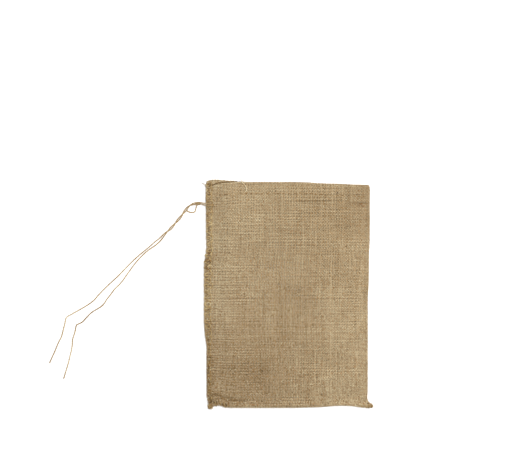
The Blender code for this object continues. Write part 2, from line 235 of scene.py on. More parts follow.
left_edge, right_edge = soft_curve(LEFT_EDGE), soft_curve(RIGHT_EDGE)
bottom_edge = soft_curve(BOTTOM_EDGE)
back_mouth, front_mouth = soft_curve(BACK_MOUTH), soft_curve(FRONT_MOUTH)
mouth_row, bottom_row = soft_curve(MOUTH_ROW), soft_curve(BOTTOM_ROW)
beaten_shift = soft_curve(BEATEN)


def ease(distance, start, length):
    """From 0 at start to 1 a length further on, level at both ends."""
    t = np.clip((distance - start) / length, 0.0, 1.0)
    return t * t * (3 - 2 * t)


def round_off(distance, radius):
    """Rises from 0 at an edge to 1 a radius inside it, as a quarter circle does."""
    t = np.clip(distance / np.maximum(radius, 0.1), 0.0, 1.0)
    return np.sqrt(1.0 - (1.0 - t) ** 2)


def fold_lift(x, y):
    """How far the soft folds lift or lower the front panel."""
    total = np.zeros_like(x)
    for x0, y0, x1, y1, half_width, lift in FOLDS:
        run_x, run_y = x1 - x0, y1 - y0
        t = np.clip(((x - x0) * run_x + (y - y0) * run_y) / (run_x ** 2 + run_y ** 2), 0, 1)
        off = np.hypot(x - x0 - t * run_x, y - y0 - t * run_y)
        total += lift * np.exp(-(off / half_width) ** 2)
    return total


def thickness(x, y):
    """Height of the front panel's outer face over the floor."""
    above_bottom = y - bottom_edge(x)
    puff = ease(x - left_edge(y), SIDE_LIP, SIDE_RISE) * ease(above_bottom, BOTTOM_LIP, BOTTOM_RISE)
    puff *= FOLD_SHARE + (1 - FOLD_SHARE) * ease(FOLD_X - x, 0.0, FOLD_RISE)
    bulge = np.clip(1 - (x / HALF_WIDTH) ** 2, 0, 1) * np.clip(1 - (y / HALF_HEIGHT) ** 2, 0, 1)
    roll = BOTTOM_ROLL * (1 - ease(above_bottom, BOTTOM_LIP - 2.0, BOTTOM_ROLL_FADE))
    return 2 * CLOTH + roll + puff * (PUFF + CROWN * bulge + fold_lift(x, y))


def cloth_place(across, up):
    """Middle of the cloth's thickness and its outward direction, at a place on the flat cloth.

    across runs from the side seam over the front panel, round the fold and back under it.
    up runs from the bottom edge to the mouth, and past it down the inside as the hem. Below
    nought the front panel rolls under the bottom edge.
    """
    roll = np.minimum(up / BOTTOM_BEND, math.pi / 2)
    rise = BOTTOM_BEND * (1 - np.cos(roll)) + np.clip(up - BOTTOM_BEND * math.pi / 2, 0, None)
    around = np.clip((across - PANEL) / FOLD_ARC, 0, 1) * math.pi
    flat = np.clip(np.minimum(across, 2 * PANEL + FOLD_ARC - across) / PANEL, 0, 1)
    y = LOW_Y + rise
    # the edges are read at the yarn's height, and its height between the edges, so twice
    for _ in range(2):
        left, right = left_edge(y) + SIDE_INSET, right_edge(y)
        bend = thickness(right, y) / 2
        x = left + flat * (right - bend - left)
        low, high = bottom_row(x) + BOTTOM_INSET, mouth_row(x)
        y = low + rise * (high - low) / HEIGHT
        y = y + (bottom_edge(x) + BOTTOM_INSET - low) * (1 - ease(rise, 0.0, BOTTOM_SETTLE))
        mouth = np.where(around < math.pi / 2, front_mouth(x), back_mouth(x)) - MOUTH_INSET
        past = np.clip(y - mouth, 0, None)
        y = np.minimum(y, mouth) - np.clip(past - math.pi * HEM_TURN, 0, None)
    turn = np.clip(past / HEM_TURN, 0, math.pi)
    half = thickness(x, y) / 2
    keep = round_off(x - left + SIDE_INSET, half) * np.sin(roll)
    room = half - CLOTH / 2
    on_front = (past <= 0) * (around < 0.1)
    step = HEM_STEP * ease(y - mouth, -HEM_DEPTH - HEM_STEP_RUN / 2, HEM_STEP_RUN) * on_front
    inward = HEM_TURN * (1 - np.cos(turn)) * np.clip(room / 2, LEAST_TURN, 1) - step
    out = np.stack([np.sin(around), np.zeros_like(x), np.cos(around)], axis=-1)
    place = np.stack([x + (bend - CLOTH / 2) * np.sin(around), y + HEM_TURN * np.sin(turn),
                      half + room * np.cos(around) * keep + CLOTH_LIFT], axis=-1)
    facing = out * (np.sin(roll) * np.cos(turn))[..., None]
    facing[..., 1] = np.sin(turn) - np.cos(roll)
    return place - out * inward[..., None], facing


def front_top(x, y):
    """Height of the yarns' crowns on the front, rounded down over the side seam's edge."""
    height = thickness(x, y)
    return height / 2 * (1 + round_off(x - left_edge(y), height / 2)) + CROWN_LIFT


# ================= meshes =================
def link_mesh(name, points, faces, corners, tone):
    """A new object from points in millimetres, with a yarn map and a tone for each point."""
    data = bpy.data.meshes.new(name)
    data.from_pydata((points * METRES).tolist(), [], faces)
    layer = data.uv_layers.new(name="yarn")
    layer.uv.foreach_set("vector", corners.astype(np.float32).ravel())
    attribute = data.attributes.new("tone", "FLOAT", "POINT")
    attribute.data.foreach_set("value", tone.astype(np.float32).ravel())
    data.polygons.foreach_set("use_smooth", np.ones(len(data.polygons), bool))
    data.update()
    thing = bpy.data.objects.new(name, data)
    bpy.context.scene.collection.objects.link(thing)
    return thing


def unit(vectors):
    """Vectors of length one in the same directions."""
    return vectors / np.maximum(np.linalg.norm(vectors, axis=-1, keepdims=True), 1e-9)


def strands(name, lines, ups, width, depth, tone, sides):
    """One mesh of many strands: flattened tubes along lines, all with as many points.

    lines is (strand, point, 3), and so is ups, or one direction. width, depth and tone are
    (strand, point). The yarn map holds the length along each strand and the way round it,
    in millimetres.
    """
    heading = unit(np.gradient(lines, axis=1))
    side = unit(np.cross(heading, ups))
    rise = np.cross(side, heading)
    angle = np.arange(sides) * 2 * math.pi / sides
    half_width, half_depth = (width / 2)[..., None, None], (depth / 2)[..., None, None]
    rings = (lines[:, :, None] + side[:, :, None] * half_width * np.cos(angle)[:, None]
             + rise[:, :, None] * half_depth * np.sin(angle)[:, None])
    count, steps = lines.shape[:2]
    index = np.arange(count * steps * sides).reshape(count, steps, sides)
    after = np.roll(index, -1, axis=2)
    quads = np.stack([index[:, :-1], index[:, 1:], after[:, 1:], after[:, :-1]], axis=-1)
    faces = quads.reshape(-1, 4).tolist() + index[:, 0].tolist() + index[:, -1, ::-1].tolist()

    run = np.concatenate([np.zeros((count, 1)),
                          np.cumsum(np.linalg.norm(np.diff(lines, axis=1), axis=2), axis=1)], axis=1)
    run = np.broadcast_to(run[:, :, None], (count, steps, sides))
    girth = (width + depth) * math.pi / 2
    way = girth[..., None] * np.arange(sides) / sides
    way_after = girth[..., None] * np.arange(1, sides + 1) / sides
    offset = 37.0 * np.arange(count)[:, None, None]
    corner = [(run[:, :-1], way[:, :-1]), (run[:, 1:], way[:, 1:]),
              (run[:, 1:], way_after[:, 1:]), (run[:, :-1], way_after[:, :-1])]
    corners = np.stack([np.stack([u, v + offset], axis=-1) for u, v in corner], axis=3)
    caps = np.stack([run[:, 0], way[:, 0] + offset[:, 0]], axis=-1)
    caps_end = np.stack([run[:, -1, ::-1], way[:, -1, ::-1] + offset[:, 0]], axis=-1)
    corners = np.concatenate([corners.reshape(-1, 2), caps.reshape(-1, 2), caps_end.reshape(-1, 2)])
    tone = np.broadcast_to(tone[..., None], (count, steps, sides))
    return link_mesh(name, rings.reshape(-1, 3), faces, corners, tone)


def steady_frame(line):
    """Two directions across a line at each of its points, that don't twist along it."""
    heading = unit(np.gradient(line, axis=0))
    first = unit(np.cross(heading[0], (0.31, 0.17, 0.93)))
    across = [first]
    for ahead in heading[1:]:
        across.append(unit(across[-1] - ahead * np.dot(across[-1], ahead)))
    across = np.array(across)
    return across, np.cross(heading, across)


def smooth_line(points, step):
    """Points at even steps along a smooth curve through given points."""
    points = np.array(points, float)
    ends = [2 * points[0] - points[1], *points, 2 * points[-1] - points[-2]]
    fine = []
    for a, b, c, d in zip(ends, ends[1:], ends[2:], ends[3:]):
        for t in np.linspace(0, 1, 24, endpoint=False):
            fine.append(0.5 * (2 * b + (c - a) * t + (2 * a - 5 * b + 4 * c - d) * t ** 2
                               + (3 * b - a - 3 * c + d) * t ** 3))
    fine = np.array([*fine, points[-1]])
    run = np.concatenate([[0], np.cumsum(np.linalg.norm(np.diff(fine, axis=0), axis=1))])
    stops = np.linspace(0, run[-1], max(2, math.ceil(run[-1] / step) + 1))
    return np.stack([np.interp(stops, run, axis) for axis in fine.T], axis=1)


def plies(line, diameter, lay, rng, start):
    """Middle lines, up directions and widths of the yarns that a string is twisted from."""
    across, rise = steady_frame(line)
    run = np.concatenate([[0], np.cumsum(np.linalg.norm(np.diff(line, axis=0), axis=1))])
    arm = diameter / 4
    lines, ups, widths = [], [], []
    uneven = 1 + drift(rng, PLIES, run, *PLY_UNEVEN)
    for k in range(PLIES):
        phase = (start + 2 * math.pi * (run / lay + k / PLIES))[:, None]
        out = across * np.cos(phase) + rise * np.sin(phase)
        lines.append(line + out * arm)
        ups.append(out)
        widths.append(2 * arm * PLY_PRESS * uneven[k])
    return np.array(lines), np.array(ups), np.array(widths)


def drift(rng, rows, places, spacing, amount):
    """Smooth random numbers along each row, at places that all the rows share."""
    knots = rng.normal(0.0, amount, (rows, int(np.max(places) / spacing) + 3))
    at = np.clip(places, 0, None) / spacing
    k = at.astype(int)
    t = at - k
    t = t * t * (3 - 2 * t)
    return knots[:, k] * (1 - t) + knots[:, k + 1] * t


def twine(name, lines, diameter, lay, rng, tone, sides=6, uneven=(6.0, 0.12)):
    """A mesh of twisted twine along several lines of any length.

    tone is one value, one for each point, or worked out from the line. uneven is how far
    apart, and by how much, it changes along the twine.
    """
    pieces = []
    for line in lines:
        ply_lines, ups, widths = plies(line, diameter, lay, rng, rng.uniform(0, 6.28))
        level = tone(line) if callable(tone) else tone
        tones = level + drift(rng, PLIES, np.arange(len(line)) * TWINE_STEP, *uneven)
        pieces.append(strands(f"{name}_run", ply_lines, ups, widths, widths, tones, sides))
    return joined(name, pieces)


def joined(name, pieces):
    """One object out of several, at the origin."""
    bpy.ops.object.select_all(action="DESELECT")
    for piece in pieces:
        piece.select_set(True)
    bpy.context.view_layer.objects.active = pieces[0]
    if len(pieces) > 1:
        bpy.ops.object.join()
    whole = bpy.context.view_layer.objects.active
    whole.name = whole.data.name = name
    whole.select_set(False)
    return whole


# ================= the weave =================
# places where the weave is slacker or closer: x, y, half width, half height, share of the
# yarns' width that is lost, or gained where it is below nought
SLACK_PATCHES = (
    (80, 20, 40, 130, -0.05), (-43.7, -96.1, 3.5, 2.2, 0.25),
    (-71, -88, 9, 6, 0.10), (-34.5, -86.5, 4.5, 3, 0.16),
    (-6, 46, 24, 34, 0.07), (-50, 68, 20, 22, 0.05),
    (20, -12, 16, 14, 0.07), (-44, -86, 30, 6, 0.15),
    (40, -70, 20, 16, 0.06), (60, 50, 18, 40, 0.04),
    (42, 115.1, 30, 1.5, 0.28), (86, 112.7, 14, 1.5, 0.28),
    (90, 124, 12, 6, 0.08),
)
# up to this height a yarn is the back panel's, and stays clear of the patches of tone and of
# painted shade
BACK_TOP = 1.2
# places where the front is darker or paler: x, y, half width, half height, change of tone.
# Some of them are painted shade: the broad darkening of the lower left, the crease above the
# bottom edge at the lower left, and the dark dashes under the hem's step. The side seam's cloth
# is darker partly from painted shade under its twine and partly because the cloth is browner
TONE_AND_SHADE_PATCHES = (
    (-62, -104, 52, 42, -0.15), (-40, -90, 60, 14, -0.05),
    (0, -50, 75, 75, -0.02), (50, 100, 50, 35, -0.02),
    (-90, -122, 7, 2.6, -0.44), (-81, -125.4, 7, 2.1, -0.40),
    (-71, -128, 8, 1.8, -0.30), (-60, -129.6, 7, 1.6, -0.18),
    (-48, -128.6, 16, 1.6, -0.12), (-88, -133, 14, 4.5, -0.16),
    (-70, 85, 34, 60, 0.06), (75, -60, 26, 60, 0.05),
    (75, -130, 32, 14, 0.10), (-25, -134.5, 45, 4, -0.08),
    (70, 105, 40, 35, -0.10), (-99.5, 30, 4.5, 120, -0.08),
    (-90, 10, 11, 48, 0.10), (-97.5, -95, 6.5, 50, -0.22),
    (10, -10, 30, 70, -0.05), (32, 114.8, 30, 0.9, -0.25),
    (55, 113.3, 45, 0.9, 0.14), (86, 112.3, 14, 0.9, -0.30),
    (-99, 41.5, 4.5, 2.2, -0.50), (101, -134.5, 3, 4, -0.35),
    (-96.5, -136, 4, 3.5, -0.30),
)


def patches(table, place):
    """Sum of soft patches at places on the cloth."""
    total = np.zeros(place.shape[:-1])
    for x, y, half_width, half_height, amount in table:
        off = ((place[..., 0] - x) / half_width) ** 2 + ((place[..., 1] - y) / half_height) ** 2
        total += amount * np.exp(-off)
    return total


def beaten(up):
    """Where a cross yarn lies that was meant for a place: the loom beats them up unevenly."""
    return up + beaten_shift(up) + RIPPLE * np.sin(up / RIPPLE_LENGTH + RIPPLE_START)


# the open mouth's inside: x to which it shows and over how far that fades, how much painted
# light the back panel gets at its edge, and how much painted shade it gets under the front one
MOUTH_OPEN = (-62.0, 16.0)
MOUTH_EDGE_LIGHT, MOUTH_SHADE = 0.12, 0.95
# heights over the front's mouth at which the painted light of the edge's pale band and the
# painted shade's top and foot start, and over how far
PALE_BAND, SHADE_TOP, SHADE_FOOT = (1.6, 0.8), (1.5, 0.9), (-12.0, 3.0)


def mouth_shade(place):
    """The back panel's inside by the open mouth: painted light at its edge, painted shade under the
    front one.
    """
    x, y, z = np.moveaxis(place, -1, 0)
    gap = y - front_mouth(x)
    below = (1 - ease(gap, *SHADE_TOP)) * ease(gap, *SHADE_FOOT)
    inside = (z < thickness(x, y) / 2) * (1 - ease(x, *MOUTH_OPEN))
    return inside * (MOUTH_EDGE_LIGHT * ease(gap, *PALE_BAND) - MOUTH_SHADE * below)


def yarns(name, first, count, low, high, crosswise, seed):
    """One set of yarns of the weave: up the cloth, or across it where crosswise is true.

    first and count number the yarns by their place, and low and high number the yarns of
    the other set between which they run.
    """
    rng = np.random.default_rng(seed)
    number = first + np.arange(count)[:, None]
    crossing = np.concatenate([[low], np.arange(low, high) + 0.5, [high]])
    every_other = np.where(number % 2 == 0, 1.0, -1.0)
    if crosswise:
        own, along = beaten(WEFT_PITCH * (number + 0.5)), WARP_PITCH * crossing
    else:
        own, along = WARP_PITCH * (number + 0.5), beaten(WEFT_PITCH * crossing)
    steady = along - along[0]
    own = own + rng.normal(0, OWN_WANDER, (count, 1))
    for spacing, amount in WANDERS:
        own = own + drift(rng, count, steady, spacing, amount)
    run = np.broadcast_to(along, own.shape)
    place, out = cloth_place(run, own) if crosswise else cloth_place(own, run)
    # the cross yarns stand out at the left, and the lengthwise ones at the right
    to_right = np.tanh(place[..., 0] / SIDE_SCALE)
    left_share = 0.5 - 0.5 * to_right
    strong = left_share if crosswise else 1 - left_share
    lower = 1 - ease(place[..., 1], *LOWER_HALF)
    lowest = 1 - ease(place[..., 1], *LOWEST_PART)
    middle, less_right, less_sides, at_top, below = WEFT_PAIRING if crosswise else WARP_PAIRING
    pairing = middle * (1 - less_right * to_right - less_sides * to_right ** 2)
    own = own + pairing * (at_top + below * lower) * every_other
    place, out = cloth_place(run, own) if crosswise else cloth_place(own, run)
    lift = CRIMP * every_other * np.cos(math.pi * (crossing - 0.5)) * (-1 if crosswise else 1)
    proud = PROUD * (strong - 0.5)
    lines = place + out * (lift + proud)[..., None]

    # the lengthwise yarns differ more from each other, most of all in the middle
    streak = 1.0 if crosswise else STREAK - STREAK_LESS * to_right ** 2
    slub = rng.normal(0, OWN_WIDTH, (count, 1)) + drift(rng, count, steady, *LONG_SLUB)
    slub = streak * slub + drift(rng, count, steady, *SLUB)
    slub = slub + drift(rng, count, steady, *KNOB) * (1 + KNOBS_BELOW * lower)
    wide = np.clip(1 + slub, LEAST_WIDTH, MOST_WIDTH) * (1 - patches(SLACK_PATCHES, place))
    wide = wide * (1 + PROUD_WIDER * proud) * (1 - SLACKER_LEFT * left_share)
    # a cross yarn fills the room that the loom leaves it
    if crosswise:
        meant = WEFT_PITCH * (number + 0.5)
        wide = wide * (beaten(meant + 0.5) - beaten(meant - 0.5))
    tone = rng.normal(0, OWN_TONE, (count, 1)) + drift(rng, count, steady, *LONG_TONE)
    tone = MIDDLE_TONE + streak * tone + drift(rng, count, steady, *SHORT_TONE)
    dashes = rng.exponential(1.0, own.shape)
    beside = np.roll(dashes, 1, axis=1) + np.roll(dashes, -1, axis=1)
    dashes = dashes - DASH_NEIGHBOUR * beside
    dash_depth = DASH + DASH_BELOW * lower + DASH_BELOW * lowest - DASH_TO_RIGHT * to_right
    tone = tone + dash_depth * (DASH_MEAN - dashes)
    # painted light on the cross yarns and painted shade on the lengthwise ones
    tone = tone + (FLOAT_LIGHT_AND_SHADE if crosswise else -FLOAT_LIGHT_AND_SHADE)
    # the patches paint shade in some places and change the cloth's tone in others
    tone = tone + SLUB_PALER * slub + patches(TONE_AND_SHADE_PATCHES, place) * (place[..., 2] > BACK_TOP)
    # painted shade under the front's mouth edge, and painted light at the back panel's edge
    tone = tone + mouth_shade(place)
    deep = YARN_DEPTH * (1 + SLUB_DEEPER * slub)
    return strands(name, lines, out, YARN_WIDTH * wide, deep, np.clip(tone, 0, 1), YARN_SIDES)


def weave(cloth_material):
    """The two panels' yarns, with the hem turned in at the mouth and the bottom rolled under."""
    rows = round(HEIGHT / WEFT_PITCH)
    hem_rows = round(HEM_DEPTH / WEFT_PITCH)
    panel_columns = round((PANEL + FOLD_ARC / 2) / WARP_PITCH)
    columns = round((2 * PANEL + FOLD_ARC) / WARP_PITCH)
    top = rows + hem_rows
    back_columns = columns - panel_columns
    pieces = [
        yarns("warp_front", 0, panel_columns, -2, top, False, 11),
        yarns("weft_front", -2, top + 2, 0, panel_columns + 1, True, 12),
        yarns("warp_back", panel_columns, back_columns, 1, top, False, 13),
        yarns("weft_back", 1, top - 1, panel_columns, columns, True, 14),
    ]
    for piece in pieces:
        finish_piece(piece, cloth_material)
    return pieces


# ================= materials =================
def colour(hex_colour):
    """sRGB hex to linear RGBA."""
    parts = [int(hex_colour[k:k + 2], 16) / 255 for k in (1, 3, 5)]
    return (*(c / 12.92 if c <= 0.04045 else ((c + 0.055) / 1.055) ** 2.4 for c in parts), 1.0)


def add(tree, kind, inputs=None, **settings):
    """Adds one node with its settings; an input is a value, or an output to link from."""
    made = tree.nodes.new("ShaderNode" + kind)
    for name, value in settings.items():
        setattr(made, name, value)
    for name, value in (inputs or {}).items():
        socket = made.inputs[name]
        if isinstance(value, bpy.types.NodeSocket):
            tree.links.new(value, socket)
        else:
            socket.default_value = value
    return made


JUTE_ROUGHNESS, JUTE_IOR, JUTE_SHEEN = 0.92, 1.45, 0.2  # coarse fibre scatters nearly all
SLIVER_SHARE = 0.5  # how much the slivers of fibre change the tone
TWIST_SLANT = 0.42  # at which the fibres lie with the twist
# patterns for each millimetre along the yarn and round it: bundles of fibre are about 4 mm by
# 0.4 mm, single fibres 2 mm by 0.1 mm, slivers of paler and darker fibre 2 mm by 1 mm, and
# flecks of bark and of unbleached gold 2.5 mm by 1 mm
BUNDLES, FIBRES_ALONG = (0.26, 2.6, 1.0), (0.5, 9.0, 1.0)
SLIVERS, DYE_FLECKS = (0.6, 1.2, 1.0), (0.4, 0.9, 1.0)


def spun_jute(name, dark, middle, pale, golden):
    """Spun jute: coarse dull bast fibre, streaked along the yarn and uneven from yarn to yarn."""
    material = bpy.data.materials.new(name)
    material.use_nodes = True
    tree = material.node_tree
    shader = tree.nodes["Principled BSDF"]
    tone = add(tree, "Attribute", attribute_name="tone")
    flat = add(tree, "UVMap", uv_map="yarn").outputs["UV"]
    slanted = add(tree, "Mapping", {"Vector": flat, "Rotation": (0, 0, TWIST_SLANT)}).outputs["Vector"]
    noise = {}
    for kind, source, scale, place, detail, roughness in (
        ("bundle", slanted, BUNDLES, (0, 0, 0), 2.0, 0.6),
        ("fibre", slanted, FIBRES_ALONG, (0, 0, 0), 2.0, 0.7),
        ("sliver", flat, SLIVERS, (0, 0, 0), 3.0, 0.6),
        ("dye", flat, DYE_FLECKS, (71, 13, 0), 3.0, 0.5),
    ):
        where = add(tree, "Mapping", {"Vector": source, "Scale": scale, "Location": place})
        made = add(tree, "TexNoise", {"Vector": where.outputs["Vector"], "Scale": 1.0,
                                      "Detail": detail, "Roughness": roughness},
                   noise_dimensions="2D")
        noise[kind] = made.outputs["Fac"]
    streak = add(tree, "Math", {0: noise["fibre"], 1: 0.8, 2: noise["bundle"]},
                 operation="MULTIPLY_ADD").outputs["Value"]
    # retted stems dye the fibre unevenly over a few centimetres
    body = add(tree, "TexCoord").outputs["Object"]
    patch = add(tree, "TexNoise", {"Vector": body, "Scale": 26.0, "Detail": 2.0}).outputs["Fac"]
    mixed = tone.outputs["Fac"]
    for pattern, share in ((streak, 0.55), (patch, 0.22), (noise["sliver"], SLIVER_SHARE)):
        mixed = add(tree, "Math", {0: pattern, 1: share, 2: mixed},
                    operation="MULTIPLY_ADD").outputs["Value"]
    # the streaks, patches and slivers add this much where they are even
    low = 0.61 + SLIVER_SHARE / 2
    shade = add(tree, "MapRange", {"Value": mixed, "From Min": low, "From Max": low + 1})
    ramp = add(tree, "ValToRGB", {"Fac": shade.outputs["Result"]})
    ramp.color_ramp.elements[0].color = colour(dark)
    ramp.color_ramp.elements[1].color = colour(pale)
    between = ramp.color_ramp.elements.new(0.5)
    between.color = colour(middle)
    dyed = add(tree, "MapRange", {"Value": noise["dye"], "From Min": 0.49, "From Max": 0.76,
                                  "To Max": 0.85})
    flecked = add(tree, "Mix", data_type="RGBA")
    tree.links.new(dyed.outputs["Result"], flecked.inputs[0])
    tree.links.new(ramp.outputs["Color"], flecked.inputs[6])
    flecked.inputs[7].default_value = colour(golden)
    bump = add(tree, "Bump", {"Height": streak, "Strength": 0.9, "Distance": 0.00022})
    tree.links.new(flecked.outputs[2], shader.inputs["Base Color"])
    tree.links.new(bump.outputs["Normal"], shader.inputs["Normal"])
    shader.inputs["Roughness"].default_value = JUTE_ROUGHNESS
    shader.inputs["IOR"].default_value = JUTE_IOR
    shader.inputs["Specular IOR Level"].default_value = JUTE_SHEEN
    return material


def plain(name, hex_colour):
    """A dull plain surface: painted board, or a scrap of bark or of unbleached fibre."""
    material = bpy.data.materials.new(name)
    material.use_nodes = True
    shader = material.node_tree.nodes["Principled BSDF"]
    shader.inputs["Base Color"].default_value = colour(hex_colour)
    shader.inputs["Roughness"].default_value = 0.9
    shader.inputs["Specular IOR Level"].default_value = 0.1
    return material


def finish_piece(piece, material):
    """Gives a piece its material and slot, and rides it on the sack's one body."""
    piece.data.materials.clear()
    piece.data.materials.append(material)
    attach(piece, BODY)
    return piece


# ================= the tie =================
def string_route(own_route, side):
    """One string: round the pair's middle line first, then down its own way."""
    middle = smooth_line(PAIR_ROUTE, STRING_STEP)
    share = np.linspace(0, 1, len(middle))
    heading = unit(np.gradient(middle, axis=0))
    right = np.stack([heading[:, 1], -heading[:, 0]], axis=1)
    phase = share * PAIR_TURNS * 2 * math.pi
    lift = np.interp(share, (0, 1), PAIR_HEIGHTS)
    flat = middle + right * (side * PAIR_RADIUS * np.cos(phase))[:, None]
    pair = np.column_stack([flat, lift + side * PAIR_RADIUS * np.sin(phase)])
    free = smooth_line([flat[-1], *own_route], STRING_STEP)
    run = np.arange(len(free)) * STRING_STEP
    height = PAIR_HEIGHTS[1] + (FREE_HEIGHT - PAIR_HEIGHTS[1]) * ease(run, 0.0, SETTLE)
    return np.concatenate([pair, np.column_stack([free, height])[1:]])


# how pale each string is: length from the knot, and tone there
LEFT_TONES = ((0, 0.55), (40, 0.7), (90, 0.6), (150, 0.75), (185, 0.45), (212, 0.85), (235, 0.9),
              (255, 0.55), (275, 0.4))
RIGHT_TONES = ((0, 0.6), (50, 0.5), (110, 0.65), (165, 0.6), (190, 0.3), (208, 0.35), (222, 0.8),
               (262, 0.95), (281, 0.5))


def tie_string(name, node, own_route, side, tones, material, seed):
    """One free end of the tie: a thin two-ply jute string."""
    rng = np.random.default_rng(seed)
    route = string_route(own_route, side)
    inside_knot = route[0] + (1.6, 0.0, 0.0)
    line = smooth_line([inside_knot, *route], LINE_STEP)
    at, tone = np.array(tones).T
    tone_along = np.interp(np.arange(len(line)) * LINE_STEP, at, tone)
    piece = twine(name, [line], STRING, STRING_LAY, rng, tone=tone_along)
    finish_piece(piece, material)
    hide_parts(node)


def tie_knot(material):
    """Two strings out of the seam, wrapped together, with one tail that curls back."""
    rng = np.random.default_rng(31)
    necks = [smooth_line([(x, y + aside * side, z) for x, y, aside, z in NECK], TWINE_STEP)
             for side in (-1, 1)]
    turn = np.linspace(0, 2 * math.pi * WRAPS, 90)
    wrap = np.stack([KNOT_START - WRAPS_START - WRAPS_LENGTH * turn / turn[-1],
                     KNOT_Y + WRAP_RADIUS * np.cos(turn),
                     PAIR_HEIGHTS[0] + WRAP_RADIUS * np.sin(turn)], axis=1)
    lines = [*necks, wrap, smooth_line(TAIL, TWINE_STEP)]
    piece = twine("knot", lines, STRING * KNOT_TWINE, KNOT_LAY, rng, tone=0.55)
    finish_piece(piece, material)
    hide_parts("tie_knot")
    return piece


# ================= the sewing =================
STITCH = 7.3  # pitch of the side seam's stitches
SEAM_FROM, SEAM_TO = -137.0, 134.0
STITCH_SPREAD = 0.5  # how unevenly they are set and how unevenly they reach in
STITCH_TURN = (0.32, 0.62)  # how far along a stitch it goes round the edge
LOOP_SIZE, SMALL_LOOP = (0.7, 1.2), 0.3  # every other loop stays small
RING_RISE, RING_END_SINK = 0.75, 1.1
# tone of the side seam's twine low down, how much paler it is higher up, and where it changes
SEAM_TONE, SEAM_PALER, SEAM_CHANGE = 0.36, 0.34, (-75.0, 45.0)
# height up the side seam, how far in the stitches reach and where they start, and the bulge
# of the loops along the needle holes
SEAM_STYLE = (
    (-138.0, 4.9, 2.2, 0.3), (-66.0, 5.0, 2.1, 0.4), (-52.0, 7.4, 0.65, 1.9),
    (34.0, 8.2, 0.65, 2.1), (46.0, 7.4, 0.65, 0.9), (137.0, 7.2, 0.65, 0.7),
)
# loose rings of twine on the side seam: x, y, radius, where it starts and ends in turns
SEAM_RINGS = (
    (-98.7, -11.4, 3.3, 0.30, 1.22), (-98.9, 7.4, 3.4, 0.66, 1.30), (-99.6, -37.5, 2.6, 0.60, 1.35),
    (-98.6, 88.0, 2.2, 0.70, 1.45), (-98.8, 118.5, 2.4, 0.10, 0.85),
)


def side_seam(material):
    """Overedge sewing down the left side.

    One twine zigzags on top between the needle holes and the edge, one does so underneath,
    and one runs along the needle holes in loops.
    """
    rng = np.random.default_rng(41)
    y_at, widths, starts, bulges = np.array(SEAM_STYLE).T
    upper, lower, needle = [], [], []
    edge_top = 2 * CLOTH + TWINE * 0.55
    for k in range(int((SEAM_TO - SEAM_FROM) / STITCH)):
        y = SEAM_FROM + (k + 0.8) * STITCH + rng.normal(0, STITCH_SPREAD)
        width = np.interp(y, y_at, widths) + rng.normal(0, STITCH_SPREAD)
        bulge = np.interp(y, y_at, bulges) * (rng.uniform(*LOOP_SIZE) if k % 2 else SMALL_LOOP)
        turn = rng.uniform(*STITCH_TURN)
        left = left_edge(y)
        outer = left + np.interp(y, y_at, starts)
        inner = left + width
        top = front_top(inner, y)
        outer_top = max(edge_top, front_top(outer + 0.55, y) + 0.45)
        middle = (top + outer_top) / 2 + 0.35
        # up out of the needle hole, over the cloth, round the edge and back
        upper += [
            (inner, y, top - 0.3),
            (inner - 0.4, y + 0.10 * STITCH, top + 0.45),
            ((inner + outer) / 2, y + 0.6 * turn * STITCH, middle),
            (outer + 0.55, y + (turn - 0.05) * STITCH, outer_top),
            (outer, y + (turn + 0.02) * STITCH, 1.9),
            (outer + 0.55, y + (turn + 0.10) * STITCH, outer_top + 0.2),
            ((inner + outer) / 2, y + (0.4 + 0.6 * turn) * STITCH, middle + 0.2),
            (inner - 0.4, y + 0.90 * STITCH, top + 0.5),
        ]
        lower += [
            (inner, y, 0.6),
            (outer + 0.3, y + turn * STITCH, 0.6),
            (outer, y + (turn + 0.05) * STITCH, 1.2),
            (outer + 0.3, y + (turn + 0.12) * STITCH, 0.6),
        ]
        needle += [
            (inner + 0.1, y, top - 0.2),
            (inner + 0.7 * bulge, y + 0.22 * STITCH, top + 0.5),
            (inner + bulge, y + 0.5 * STITCH, top + 0.55),
            (inner + 0.7 * bulge, y + 0.8 * STITCH, top + 0.5),
        ]
    lines = [smooth_line(points, TWINE_STEP) for points in (upper, lower, needle)]
    for x, y, radius, start, end in SEAM_RINGS:
        angle = np.linspace(start, end, 12) * 2 * math.pi
        ring_x, ring_y = x + radius * np.cos(angle), y + 1.15 * radius * np.sin(angle)
        height = front_top(ring_x, ring_y) + RING_RISE
        height[[0, -1]] -= RING_END_SINK
        lines.append(smooth_line(np.stack([ring_x, ring_y, height], axis=1), TWINE_STEP))
    piece = twine("overedge_twine", lines, TWINE, TWINE_LAY, rng, sides=5, uneven=(2.6, 0.3),
                  tone=lambda line: SEAM_TONE + SEAM_PALER * ease(line[:, 1], *SEAM_CHANGE))
    return finish_piece(piece, material)


# place across the bottom edge, how far up the front the stitches reach
BOTTOM_STYLE = ((-97.0, 6.2), (-78.0, 5.0), (-73.0, -0.4), (83.0, -0.4), (87.0, 3.4), (97.0, 5.0))
BOTTOM_STITCH = 5.6
BOTTOM_FROM, BOTTOM_TO = -95.5, 97.0
BENEATH = 0.58  # the twine's middle where it runs under the sack
CORNER_TURNS = 2.6
# turns of twine round the stub at each bottom corner: x, y, z, axis x, axis y, radius, height,
# length
CORNER_WRAPS = (
    (-97.0, -136.2, 2.3, 0.12, -0.99, 2.3, 2.3, 3.2),
    (99.6, -136.4, 2.4, 0.99, -0.10, 2.5, 2.3, 5.4),
)


